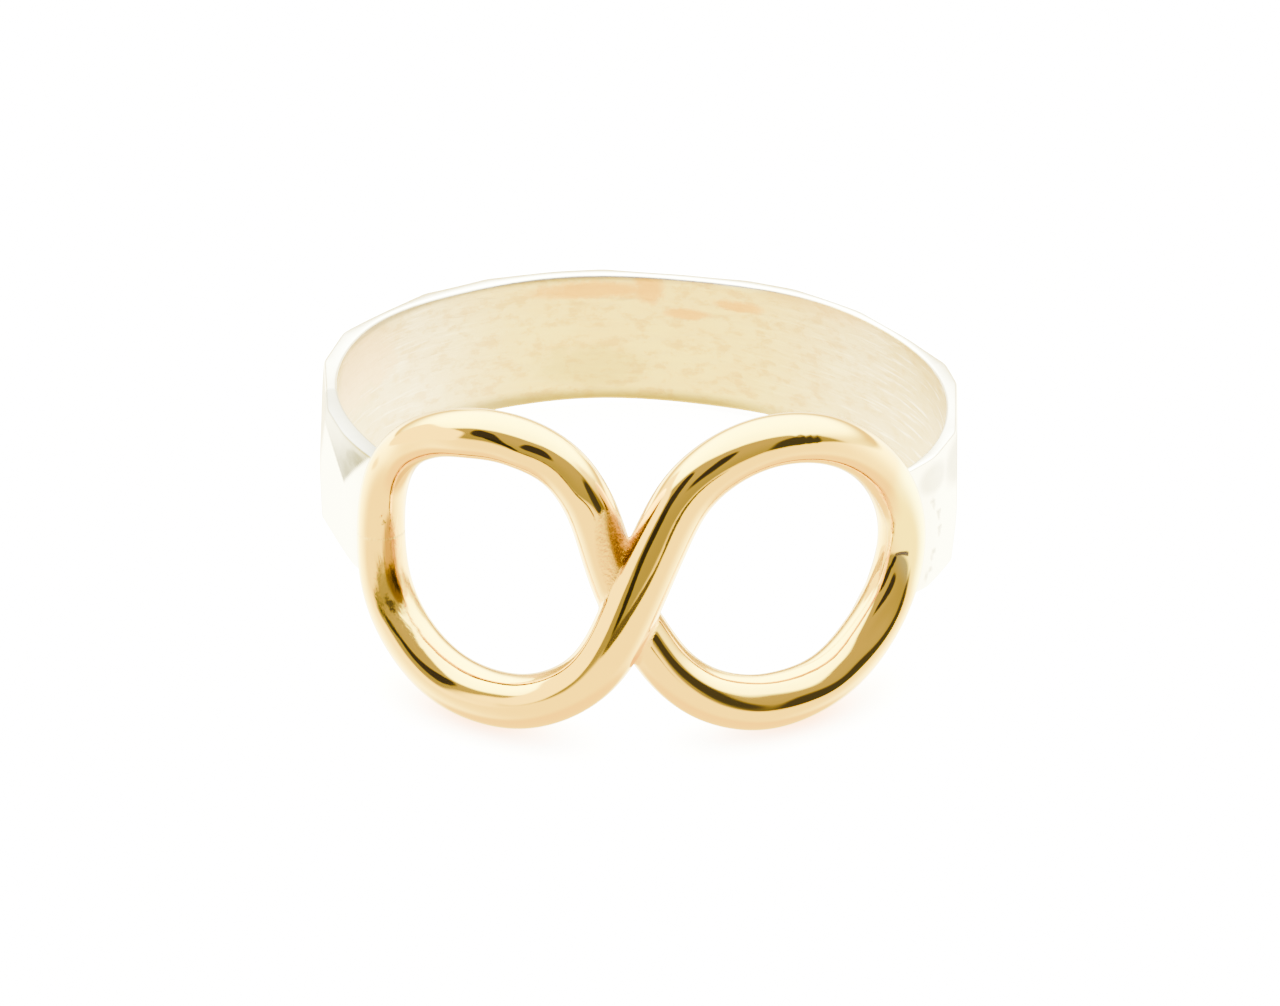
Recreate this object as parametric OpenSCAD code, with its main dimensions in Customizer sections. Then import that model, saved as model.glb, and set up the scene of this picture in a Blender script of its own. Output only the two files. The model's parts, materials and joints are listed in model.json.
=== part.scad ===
// Infinity ring: a round gold wire bent in a figure of eight, soldered to a hand-hammered silver band.
// The ring lies on its side. Lengths are in millimetres and angles in degrees.

/* [Finger] */
// Diameter of the finger hole
finger_d = 17.3; // [15:0.1:21]

/* [Band] */
// Width of the band along the finger
band_w = 4; // [3:0.1:6]
// Thickness of the band under an average hammer blow
band_t = 0.46; // [0.4:0.05:1]
// How far the hammer moves the outer face in or out
hammer_relief = 0.12; // [0:0.02:0.2]
// Distance from one hammer blow to the next
blow_pitch = 1.9; // [1.4:0.1:3]
// How far the band's edges wander up and down
edge_wander = 0.1; // [0:0.02:0.16]
// How much the band's upper edge drops towards its two ends
upper_dip = 0.25; // [0:0.05:0.5]
// How far the band leans over to the right of the figure
band_skew = 2.4; // [0:0.2:4]
// Number that picks the pattern of the blows
blow_pattern = 5; // [1:1:40]

/* [Figure of eight] */
// Diameter of the wire where the front strand crosses
wire_d = 1.62; // [1.2:0.02:2]
// Width of the figure along the finger's curve, between the wire's middle lines
figure_w = 16.4; // [13:0.1:19]
// Height of the figure between the wire's middle lines
figure_h = 7.9; // [6.5:0.1:10]
// How far the figure's middle lies above the band's
figure_rise = 0.25; // [-0.5:0.05:0.8]
// Room between the finger and the wire
finger_room = 0.15; // [0.05:0.05:0.4]

/* [Solder] */
// Gap between the wire and the band's coped ends
solder_gap = 0.03; // [0.02:0.01:0.08]
// How far the band's ends reach past the wire's rear edge
solder_lap = 0.3; // [0.1:0.05:0.5]
// Radius of the solder webs in the crossing
web_r = 0.34; // [0.2:0.02:0.5]
// How far the webs run along the strands, in stations of the wire
web_reach = 0.9; // [0.5:0.1:1.5]

/* [Hidden] */

finger_r = finger_d / 2;
// Radius of the cylinder on which the wire's middle line lies
wire_r = finger_r + finger_room + wire_d / 2;

// The wire, a row for each station, from the left end along the front strand to the right end and back.
// Each row has these columns:
// out, share of half the figure's width, to the right
// up, share of half its height
// lift, share of the wire's diameter, away from the finger
// across, share of the wire's diameter, in the figure's face
// deep, share of the wire's diameter, away from the finger
STATIONS = [
    [-0.99, 0.02, 0.00, 0.79, 0.86],
    [-0.965, -0.38, 0.00, 0.84, 0.90],
    [-0.86, -0.69, 0.00, 0.89, 0.94],
    [-0.70, -0.92, 0.00, 0.96, 0.98],
    [-0.52, -0.99, 0.05, 0.96, 1.00],
    [-0.35, -0.94, 0.19, 0.93, 1.00],
    [-0.19, -0.745, 0.34, 0.90, 1.00],
    [-0.085, -0.45, 0.37, 0.96, 1.00],
    [0.00, -0.01, 0.26, 1.00, 1.00],
    [0.075, 0.345, 0.11, 0.98, 1.00],
    [0.16, 0.67, 0.02, 0.95, 1.00],
    [0.30, 0.905, 0.02, 0.92, 0.98],
    [0.47, 0.99, 0.00, 0.88, 0.95],
    [0.66, 0.92, 0.00, 0.85, 0.92],
    [0.83, 0.70, 0.00, 0.80, 0.90],
    [0.96, 0.38, 0.00, 0.78, 0.88],
    [1.02, 0.00, 0.00, 0.75, 0.86],
    [0.965, -0.40, 0.00, 0.80, 0.90],
    [0.83, -0.71, 0.00, 0.88, 0.94],
    [0.68, -0.92, 0.00, 0.86, 0.96],
    [0.50, -1.00, 0.00, 0.96, 0.98],
    [0.36, -0.985, 0.00, 0.96, 0.98],
    [0.22, -0.88, 0.00, 0.92, 0.98],
    [0.11, -0.69, 0.00, 0.88, 0.96],
    [0.03, -0.45, 0.00, 0.88, 0.94],
    [-0.05, -0.16, 0.00, 0.88, 0.92],
    [-0.105, 0.17, 0.00, 0.88, 0.92],
    [-0.155, 0.52, 0.00, 0.86, 0.92],
    [-0.24, 0.81, 0.00, 0.84, 0.92],
    [-0.37, 0.97, 0.00, 0.86, 0.92],
    [-0.53, 1.01, 0.00, 0.86, 0.92],
    [-0.70, 0.94, 0.00, 0.80, 0.90],
    [-0.86, 0.76, 0.00, 0.74, 0.88],
    [-0.965, 0.43, 0.00, 0.73, 0.86],
];
// Row where the front strand ends, at the right end of the figure
RIGHT_END = 16;
// Row where the front strand crosses, and the place of the back strand's crossing among the rows
FRONT_CROSSING = 8;
BACK_CROSSING = 25.2;

// Rings of the wire from one station to the next, and sides of each ring
RINGS = 5;
SIDES = 16;
// Webs of solder above the crossing, and as many below it
WEBS = 5;

// Half the angle from one end of the figure to the other
figure_angle = figure_w / 2 / wire_r * 180 / PI;
// Angle from the front at which the band ends
band_end = figure_angle + (STATIONS[RIGHT_END][3] * wire_d / 2 - solder_lap) / wire_r * 180 / PI;

// Shares of half the band's width at which rows of blows meet, from the lower edge to the upper
ROWS = [-1, -0.35, 0.35, 1];
// Limit of the search for the resting tilt, in degrees, and the number of times the range is halved
STEEPEST_TILT = 30;
HALVINGS = 20;

// Share of a column's width by which a blow strays to either side
STRAY = 0.25;
// How suddenly the band's upper edge drops near its ends
DIP_POWER = 4;
// Number of stations, on each side of the figure's ends, round which the band is coped
COPE_STATIONS = 3;
// Sides of the round finger hole
BORE_SIDES = 96;

// Columns of blows round the band
columns = round((360 - 2 * band_end) / 360 * PI * finger_d / blow_pitch);
blows = rands(-1, 1, (columns + 1) * len(ROWS) * 3, blow_pattern);

// A point by its angle from the front, its distance from the finger's axis and its height
function round_finger(angle, radius, height) = [radius * sin(angle), -radius * cos(angle), height];

// One row of the table, also between two stations
function station(place) =
    let (
        count = len(STATIONS),
        at = floor(place),
        f = place - at,
        before = STATIONS[(at + count - 1) % count],
        from = STATIONS[at],
        to = STATIONS[(at + 1) % count],
        after = STATIONS[(at + 2) % count]
    )
    (2 * from + (to - before) * f + (2 * before - 5 * from + 4 * to - after) * f * f
        + (3 * from - before - 3 * to + after) * f * f * f) / 2;

function wire_middle(place) =
    let (s = station(place))
    round_finger(s[0] * figure_angle, wire_r + s[2] * wire_d, figure_rise + s[1] * figure_h / 2);

function unit(v) = v / norm(v);

// Number of rings all the way along the wire, and the place in the table of one of them
ring_count = len(STATIONS) * RINGS;
function ring_place(ring) = (ring % ring_count) / RINGS;

// The points of one ring, which is made wider all round by grow
function wire_ring(ring, grow) =
    let (
        s = station(ring_place(ring)),
        middle = wire_middle(ring_place(ring)),
        along = unit(wire_middle(ring_place(ring + 1)) - wire_middle(ring_place(ring + ring_count - 1))),
        side = unit(cross(along, [middle[0], middle[1], 0])),
        out = cross(side, along),
        across = s[3] * wire_d / 2 + grow,
        deep = s[4] * wire_d / 2 + grow
    )
    [for (k = [0:SIDES - 1])
        let (turn = (k + 0.5) * 360 / SIDES)
        middle + side * across * cos(turn) + out * deep * sin(turn)];

// A closed tube along the wire, from one station to a later one
module wire_tube(from, to, grow = 0) {
    rings = (to - from) * RINGS;
    last = rings * SIDES;
    points = [for (i = [0:rings]) each wire_ring(from * RINGS + i, grow)];
    walls = [for (i = [0:rings - 1], k = [0:SIDES - 1])
        let (
            a = i * SIDES + k,
            b = i * SIDES + (k + 1) % SIDES
        )
        each [[a, b, b + SIDES], [a, b + SIDES, a + SIDES]]];
    start_cap = [for (k = [1:SIDES - 2]) [0, k + 1, k]];
    end_cap = [for (k = [1:SIDES - 2]) [last, last + k, last + k + 1]];
    polyhedron(points = points, faces = concat(walls, start_cap, end_cap), convexity = 8);
}

// A drop of solder in the wire's middle at a place in the table
module solder_drop(place) {
    translate(wire_middle(place)) sphere(r = web_r, $fn = SIDES);
}

// Thin webs of solder between the two strands, above and below the crossing
module solder_webs() {
    for (side = [-1, 1], k = [1:WEBS])
        hull() {
            solder_drop(FRONT_CROSSING + side * web_reach * k / WEBS);
            solder_drop(BACK_CROSSING + side * web_reach * k / WEBS);
        }
}

module figure_of_eight() {
    color("goldenrod")
    union() {
        wire_tube(0, RIGHT_END);
        wire_tube(RIGHT_END, len(STATIONS));
        solder_webs();
    }
}

// Angle of one column of hammer blows, from the band's right end round the back to its left end
function column_angle(i) = band_end + (360 - 2 * band_end) * i / columns;

// One of the random numbers that belong to a blow, from -1 to 1
function blow(i, j, which) = blows[(i * len(ROWS) + j) * 3 + which];

// Height at which a row of blows meets a column
function row_height(i, j) =
    let (
        end_share = pow(abs(2 * i / columns - 1), DIP_POWER),
        dip = j == len(ROWS) - 1 ? upper_dip * end_share : 0
    )
    ROWS[j] * band_w / 2 + edge_wander * blow(i, j, 2) - dip;

// A point of the outer face where hammer marks meet
function outer_point(i, j) =
    let (
        at_end = i == 0 || i == columns,
        shift = at_end ? 0 : STRAY * blow(i, j, 0) * (column_angle(1) - column_angle(0)),
        radius = finger_r + band_t + hammer_relief * blow(i, j, 1)
    )
    round_finger(column_angle(i) + shift, radius, row_height(i, j));

// A point inside the finger hole, which the bore cuts away
function inner_point(i, j) = round_finger(column_angle(i), finger_r - band_t, row_height(i, j));

// The strip after hammering, bent round the finger, before its inside is made round
module hammered_strip() {
    top = len(ROWS) - 1;
    ring = len(ROWS) + 2;
    points = [for (i = [0:columns])
        each concat([inner_point(i, 0)], [for (j = [0:top]) outer_point(i, j)], [inner_point(i, top)])];
    walls = [for (i = [0:columns - 1], k = [0:ring - 1])
        let (
            a = i * ring + k,
            b = i * ring + (k + 1) % ring
        )
        each (i + k) % 2 == 0
            ? [[a, b, b + ring], [a, b + ring, a + ring]]
            : [[a, b, a + ring], [b, b + ring, a + ring]]];
    last = columns * ring;
    start_cap = [for (k = [1:ring - 2]) [0, k + 1, k]];
    end_cap = [for (k = [1:ring - 2]) [last, last + k, last + k + 1]];
    polyhedron(points = points, faces = concat(walls, start_cap, end_cap), convexity = 8);
}

module hammered_band() {
    color("gainsboro")
    difference() {
        rotate([0, band_skew, 0])
            difference() {
                hammered_strip();
                cylinder(r = finger_r, h = 2 * band_w, center = true, $fn = BORE_SIDES);
            }
        wire_tube(RIGHT_END - COPE_STATIONS, RIGHT_END + COPE_STATIONS, solder_gap);
        wire_tube(len(STATIONS) - COPE_STATIONS, len(STATIONS) + COPE_STATIONS, solder_gap);
    }
}

// The outer points of both pieces, the band's after it leans over
wire_skin = [for (ring = [0:ring_count - 1]) each wire_ring(ring, 0)];
band_skin = [for (i = [0:columns], j = [0:len(ROWS) - 1])
    let (p = outer_point(i, j))
    [p[0] * cos(band_skew) + p[2] * sin(band_skew), p[1], p[2] * cos(band_skew) - p[0] * sin(band_skew)]];

// A point after the ring has tipped back by a tilt
function tipped(p, tilt) = [p[0], p[1] * cos(tilt) + p[2] * sin(tilt), p[2] * cos(tilt) - p[1] * sin(tilt)];

function lowest(points, tilt) = min([for (p = points) tipped(p, tilt)[2]]);

// Tilt at which the figure's lower bends and the band's rear edge lie equally low, found by halving the range
function level_tilt(low, high, rounds) =
    let (
        middle = (low + high) / 2,
        front_is_lower = lowest(wire_skin, middle) < lowest(band_skin, middle)
    )
    rounds == 0 ? middle
        : front_is_lower ? level_tilt(middle, high, rounds - 1)
        : level_tilt(low, middle, rounds - 1);

rest_tilt = level_tilt(0, STEEPEST_TILT, HALVINGS);
rested = [for (p = concat(wire_skin, band_skin)) tipped(p, rest_tilt)];

// Middle of the resting ring's extent along one axis
function middle_of(axis) =
    let (values = [for (p = rested) p[axis]])
    (min(values) + max(values)) / 2;

// Sets the ring down on its side, with its middle over the origin
module at_rest() {
    translate([-middle_of(0), -middle_of(1), -lowest(rested, 0)])
        rotate([-rest_tilt, 0, 0]) children();
}

module band() {
    at_rest() hammered_band();
}

module infinity_wire() {
    at_rest() figure_of_eight();
}

band();
infinity_wire();
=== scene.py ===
"""Looks of the infinity ring: a gold wire in a figure of eight on a hand-hammered silver band."""

from __future__ import annotations

import json
import logging
import math
from dataclasses import dataclass, field
from enum import Enum
from typing import Any, Callable

import bpy
import numpy as np
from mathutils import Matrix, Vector

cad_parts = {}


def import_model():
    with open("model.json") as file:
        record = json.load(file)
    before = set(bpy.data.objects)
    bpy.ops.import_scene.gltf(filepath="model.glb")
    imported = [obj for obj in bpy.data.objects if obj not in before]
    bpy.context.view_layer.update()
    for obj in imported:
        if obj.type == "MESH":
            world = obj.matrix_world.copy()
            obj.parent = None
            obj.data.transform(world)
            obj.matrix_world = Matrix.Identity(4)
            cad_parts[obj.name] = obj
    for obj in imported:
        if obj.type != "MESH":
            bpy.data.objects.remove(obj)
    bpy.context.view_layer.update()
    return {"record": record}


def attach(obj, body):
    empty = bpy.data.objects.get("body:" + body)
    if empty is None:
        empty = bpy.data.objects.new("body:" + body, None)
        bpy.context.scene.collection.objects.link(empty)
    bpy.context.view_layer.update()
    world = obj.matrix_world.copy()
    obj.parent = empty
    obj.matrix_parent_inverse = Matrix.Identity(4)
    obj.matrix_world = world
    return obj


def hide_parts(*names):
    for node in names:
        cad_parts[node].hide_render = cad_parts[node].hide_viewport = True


log = logging.getLogger("ring")

MM = 0.001
PHOTO_WIDTH = 1280
PHOTO_HEIGHT = 1006

Colour = tuple[float, float, float]


class Side(Enum):
    """The two ends of the figure and of the band, as the camera sees them."""

    LEFT = -1
    RIGHT = 1


class Field:
    """A number socket of a node tree that takes part in Python arithmetic."""

    def __init__(self, desk: NodeDesk, socket: Any) -> None:
        """Keeps the socket and the desk whose tree it belongs to."""
        self.desk = desk
        self.socket = socket

    def math(self, operation: str, *others: Any) -> Field:
        """Adds a Math node that works on this number and on others."""
        inputs = dict(enumerate((self, *others)))
        return self.desk.node("ShaderNodeMath", {"operation": operation}, inputs)

    def __add__(self, other: Any) -> Field:
        """Adds a number or field."""
        return self.math("ADD", other)

    __radd__ = __add__

    def __sub__(self, other: Any) -> Field:
        """Takes a number or field away."""
        return self.math("SUBTRACT", other)

    def __rsub__(self, other: Any) -> Field:
        """Takes this field away from a number."""
        return self.desk.node("ShaderNodeMath", {"operation": "SUBTRACT"}, {0: other, 1: self})

    def __mul__(self, other: Any) -> Field:
        """Multiplies by a number or field."""
        return self.math("MULTIPLY", other)

    __rmul__ = __mul__

    def __truediv__(self, other: Any) -> Field:
        """Divides by a number or field."""
        return self.math("DIVIDE", other)

    def __neg__(self) -> Field:
        """Turns the sign round."""
        return self.math("MULTIPLY", -1.0)

    def power(self, exponent: float) -> Field:
        """Raises the number to a power."""
        return self.math("POWER", exponent)

    def size(self) -> Field:
        """Gives the number without its sign."""
        return self.math("ABSOLUTE")

    def most(self, other: Any) -> Field:
        """Gives the larger of two numbers."""
        return self.math("MAXIMUM", other)

    def rise(self, low: float, high: float) -> Field:
        """Climbs smoothly from 0 at one value to 1 at another.

        Args:
            low: The value at which the result is 0.
            high: The value at which the result is 1.

        Returns:
            The smooth step, which falls instead where low is above high.
        """
        settings = {"interpolation_type": "SMOOTHSTEP", "clamp": True}
        limits = {"From Min": low, "From Max": high, "To Min": 0.0, "To Max": 1.0}
        if low > high:
            limits = {"From Min": high, "From Max": low, "To Min": 1.0, "To Max": 0.0}
        return self.desk.node("ShaderNodeMapRange", settings, {"Value": self, **limits}, "Result")

    def hump(self, middle: float, reach: float) -> Field:
        """Is 1 at the middle and falls smoothly to 0 at a reach from it."""
        return (self - middle).size().rise(reach, 0.0)


class NodeDesk:
    """Makes the nodes of one tree, of a material, a world or Geometry Nodes."""

    def __init__(self, tree: bpy.types.NodeTree) -> None:
        """Takes the tree and empties it."""
        self.tree = tree
        tree.nodes.clear()

    def put(self, kind: str, settings: dict[str, Any], inputs: dict[Any, Any]) -> bpy.types.Node:
        """Adds one node.

        Args:
            kind: The node's type.
            settings: Its properties, which are set first.
            inputs: Values, fields or sockets for its input sockets, by name or number.

        Returns:
            The node.
        """
        node = self.tree.nodes.new(kind)
        for name, value in settings.items():
            setattr(node, name, value)
        for name, value in inputs.items():
            socket = node.inputs[name]
            source = value.socket if isinstance(value, Field) else value
            if isinstance(source, bpy.types.NodeSocket):
                self.tree.links.new(source, socket)
            else:
                socket.default_value = source
        return node

    def node(
        self, kind: str, settings: dict[str, Any], inputs: dict[Any, Any], output: Any = 0
    ) -> Field:
        """Adds one node and gives one of its outputs, by its name or number."""
        return Field(self, self.put(kind, settings, inputs).outputs[output])

    def parts(self, vector: Any) -> tuple[Field, Field, Field]:
        """Splits a vector in its three numbers."""
        node = self.put("ShaderNodeSeparateXYZ", {}, {0: vector})
        return tuple(Field(self, node.outputs[i]) for i in range(3))

    def joined(self, x: Any, y: Any, z: Any) -> Field:
        """Makes a vector of three numbers."""
        return self.node("ShaderNodeCombineXYZ", {}, {0: x, 1: y, 2: z})

    def vector(self, operation: str, *operands: Any) -> Field:
        """Adds a Vector Math node on the operands."""
        inputs = dict(enumerate(operands))
        return self.node("ShaderNodeVectorMath", {"operation": operation}, inputs)

    def scaled(self, vector: Any, factor: Any) -> Field:
        """Multiplies a vector by a number."""
        inputs = {0: vector, "Scale": factor}
        return self.node("ShaderNodeVectorMath", {"operation": "SCALE"}, inputs)

    def named(self, name: str, output: str = "Fac") -> Field:
        """Reads an attribute of the piece in a material."""
        settings = {"attribute_type": "GEOMETRY", "attribute_name": name}
        return self.node("ShaderNodeAttribute", settings, {}, output)

    def noise(
        self, place: Any, scale: float, detail: float = 3.0, rough: float = 0.5, bend: float = 0.0
    ) -> Field:
        """Adds a noise texture.

        Args:
            place: The vector that it is read at.
            scale: How many features lie on one unit of the vector.
            detail: Number of finer layers.
            rough: Strength of the finer layers.
            bend: How much the noise bends itself.

        Returns:
            The noise, from 0 to 1.
        """
        inputs = {"Vector": place, "Scale": scale, "Detail": detail}
        inputs |= {"Roughness": rough, "Distortion": bend}
        return self.node("ShaderNodeTexNoise", {}, inputs, "Fac")

    def blend(self, share: Any, first: Any, second: Any) -> Field:
        """Mixes two colours.

        Args:
            share: Share of the second colour.
            first: The first colour.
            second: The second colour.

        Returns:
            The mixed colour.
        """
        node = self.put("ShaderNodeMix", {"data_type": "RGBA"}, {0: share})
        for number, value in ((6, first), (7, second)):
            if isinstance(value, Field):
                self.tree.links.new(value.socket, node.inputs[number])
            else:
                node.inputs[number].default_value = (*value, 1.0)
        return Field(self, node.outputs[2])

    def painted(self, colour: Any, *layers: tuple[Any, Any]) -> Any:
        """Lays colours over one another.

        Args:
            colour: The lowest colour.
            layers: The share and the colour of each layer, from below.

        Returns:
            The colour that shows.
        """
        for share, over in layers:
            colour = self.blend(share, colour, over)
        return colour


@dataclass(frozen=True)
class RestingPlace:
    """Where the ring lies: it turns the upright ring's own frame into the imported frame."""

    origin: np.ndarray
    tilt: float
    lean: float

    @classmethod
    def of_record(cls, record: dict[str, Any]) -> RestingPlace:
        """Reads the place from the finger mount.

        Args:
            record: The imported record.

        Returns:
            The ring's place.
        """
        mount = record["mounts"][0]
        x, y, z = mount["axis"]
        return cls(np.array(mount["pos_m"]) / MM, math.atan2(y, z), math.asin(x))

    def seat(self, points: np.ndarray) -> np.ndarray:
        """Tips points of the upright ring back and lays them down.

        Args:
            points: Points in the ring's own frame, in millimetres.

        Returns:
            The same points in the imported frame, in millimetres.
        """
        x, y, z = np.moveaxis(np.asarray(points, float), -1, 0)
        c, s = math.cos(self.tilt), math.sin(self.tilt)
        return np.stack([x, y * c + z * s, z * c - y * s], -1) + self.origin

    def lean_over(self, points: np.ndarray) -> np.ndarray:
        """Leans points of the band over to the right of the figure."""
        x, y, z = np.moveaxis(np.asarray(points, float), -1, 0)
        c, s = math.cos(self.lean), math.sin(self.lean)
        return np.stack([x * c + z * s, y, z * c - x * s], -1)


def unit(vectors: np.ndarray) -> np.ndarray:
    """Gives vectors of length 1 along the given ones."""
    return vectors / np.linalg.norm(vectors, axis=-1, keepdims=True)


def smooth_step(values: np.ndarray, low: float, high: float) -> np.ndarray:
    """Climbs smoothly from 0 at low to 1 at high."""
    share = np.clip((values - low) / (high - low), 0.0, 1.0)
    return share * share * (3.0 - 2.0 * share)


def soft_least(a: np.ndarray, b: np.ndarray, width: float) -> np.ndarray:
    """Gives the smaller of two values, rounded where they are less than a width apart."""
    share = np.maximum(width - np.abs(a - b), 0.0) / width
    return np.minimum(a, b) - share * share * width / 4.0


def wrapped(values: np.ndarray, period: float) -> np.ndarray:
    """Brings distances on a closed line between minus and plus half its length."""
    return (values + period / 2) % period - period / 2


def put_in_scene(name: str, data: Any) -> bpy.types.Object:
    """Adds an object with a mesh or a camera to the scene."""
    thing = bpy.data.objects.new(name, data)
    bpy.context.scene.collection.objects.link(thing)
    return thing


def mesh_piece(name: str, points: np.ndarray, faces: np.ndarray) -> bpy.types.Object:
    """Makes a smooth-shaded mesh object at the origin.

    Args:
        name: The piece's name.
        points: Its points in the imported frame, in millimetres.
        faces: Corner numbers of its faces.

    Returns:
        The object.
    """
    mesh = bpy.data.meshes.new(name)
    mesh.from_pydata((points * MM).tolist(), [], faces.tolist())
    mesh.validate()
    mesh.shade_smooth()
    return put_in_scene(name, mesh)


def store(mesh: bpy.types.Mesh, name: str, values: np.ndarray) -> None:
    """Stores numbers or vectors on a mesh's points.

    Args:
        mesh: The mesh.
        name: The attribute's name.
        values: One number, or one vector, for each point.
    """
    kind, key = ("FLOAT_VECTOR", "vector") if values.ndim == 2 else ("FLOAT", "value")
    attribute = mesh.attributes.new(name, kind, "POINT")
    attribute.data.foreach_set(key, values.astype(np.float32).ravel())


def read(mesh: bpy.types.Mesh, name: str) -> np.ndarray:
    """Reads a number attribute of a mesh's points."""
    values = np.zeros(len(mesh.vertices), np.float32)
    mesh.attributes[name].data.foreach_get("value", values)
    return values.astype(float)


def corners(mesh: bpy.types.Mesh) -> np.ndarray:
    """Reads a mesh's points, in millimetres."""
    values = np.zeros(len(mesh.vertices) * 3, np.float32)
    mesh.vertices.foreach_get("co", values)
    return values.reshape(-1, 3).astype(float) / MM


@dataclass(frozen=True)
class Metal:
    """A polished metal, with what its colour and gloss are in the clean places."""

    colour: Colour
    roughness: float

    def shader(self, desk: NodeDesk, colour: Any, roughness: Any, normal: Any) -> None:
        """Ends a material in a metal surface.

        Args:
            desk: The material's node desk.
            colour: The finished colour.
            roughness: The finished roughness.
            normal: The finished normal.
        """
        inputs = {"Base Color": colour, "Metallic": 1.0, "Roughness": roughness, "Normal": normal}
        surface = desk.node("ShaderNodeBsdfPrincipled", {}, inputs)
        desk.put("ShaderNodeOutputMaterial", {}, {"Surface": surface})

    @staticmethod
    def bumped(desk: NodeDesk, *layers: tuple[Any, float]) -> Field:
        """Turns heights into one normal.

        Args:
            desk: The material's node desk.
            layers: Each height and the microns that 1 stands for, below 0 for a depth.

        Returns:
            The bumped normal.
        """
        under = {}
        for height, microns in layers:
            inputs = {"Distance": abs(microns) * 1e-6, "Height": height, **under}
            settings = {"invert": microns < 0.0}
            under = {"Normal": desk.node("ShaderNodeBump", settings, inputs, "Normal")}
        return under["Normal"]


def new_material(name: str) -> tuple[bpy.types.Material, NodeDesk]:
    """Makes an empty node material.

    Args:
        name: Its name.

    Returns:
        The material and its node desk.
    """
    material = bpy.data.materials.new(name)
    material.use_nodes = True
    return material, NodeDesk(material.node_tree)


@dataclass(frozen=True)
class GoldFinish(Metal):
    """Polished pale gold with drawn lines, frosted solder, file marks, and painted warm shade
    where the strands cross and along the inside near the left end.
    """

    colour: Colour = (0.73, 0.52, 0.03)
    roughness: float = 0.05
    smudge_colour: Colour = (0.71, 0.475, 0.025)
    # Painted warm shade: the strands' light on each other where they cross, and along the inside
    # near the left end
    warm_shade_colour: Colour = (0.19, 0.09, 0.0005)
    solder_colour: Colour = (0.78, 0.50, 0.04)
    silvered_colour: Colour = (0.93, 0.83, 0.2)
    wave_microns: float = -11.0
    drawn_microns: float = -0.9
    filed_microns: float = -24.0
    frost_microns: float = 42.0

    def material(self) -> bpy.types.Material:
        """Builds the wire's material."""
        material, desk = new_material("polished_gold")
        place = desk.node("ShaderNodeTexCoord", {}, {}, "Object")
        along, turn, _ = desk.parts(desk.named("drawn", "Vector"))
        frosted, worked, silvered = desk.parts(desk.named("marks", "Vector"))
        wave = desk.noise(desk.joined(along * 0.45, turn * 0.9, 0.0), 1.0, 1.5)
        drawn = desk.noise(desk.joined(along * 0.6, turn * 10.0, 0.0), 1.0, 4.0, 0.6)
        filed = desk.noise(desk.joined(along * 0.9, turn * 2.6, 3.0), 1.0, 4.0, 0.6, 0.5)
        grain = desk.noise(place, 8000.0, 4.0, 0.7)
        smudge = desk.noise(place, 650.0, 3.0, 0.55)
        normal = self.bumped(
            desk,
            (wave, self.wave_microns),
            (drawn, self.drawn_microns),
            (filed * worked, self.filed_microns),
            ((grain - 1.0) * frosted, self.frost_microns),
        )
        roughness = self.roughness + smudge.rise(0.45, 0.75) * 0.05
        roughness = roughness + frosted * 0.15 + worked * 0.08
        colour = desk.painted(
            self.colour,
            (smudge.rise(0.35, 0.7) * 0.3, self.smudge_colour),
            (frosted * 0.8, self.solder_colour),
            (silvered, self.silvered_colour),
            # Painted warm shade where the strands cross and along the inside near the left end
            (desk.named("groove"), self.warm_shade_colour),
        )
        self.shader(desk, colour, roughness, normal)
        return material


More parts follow.
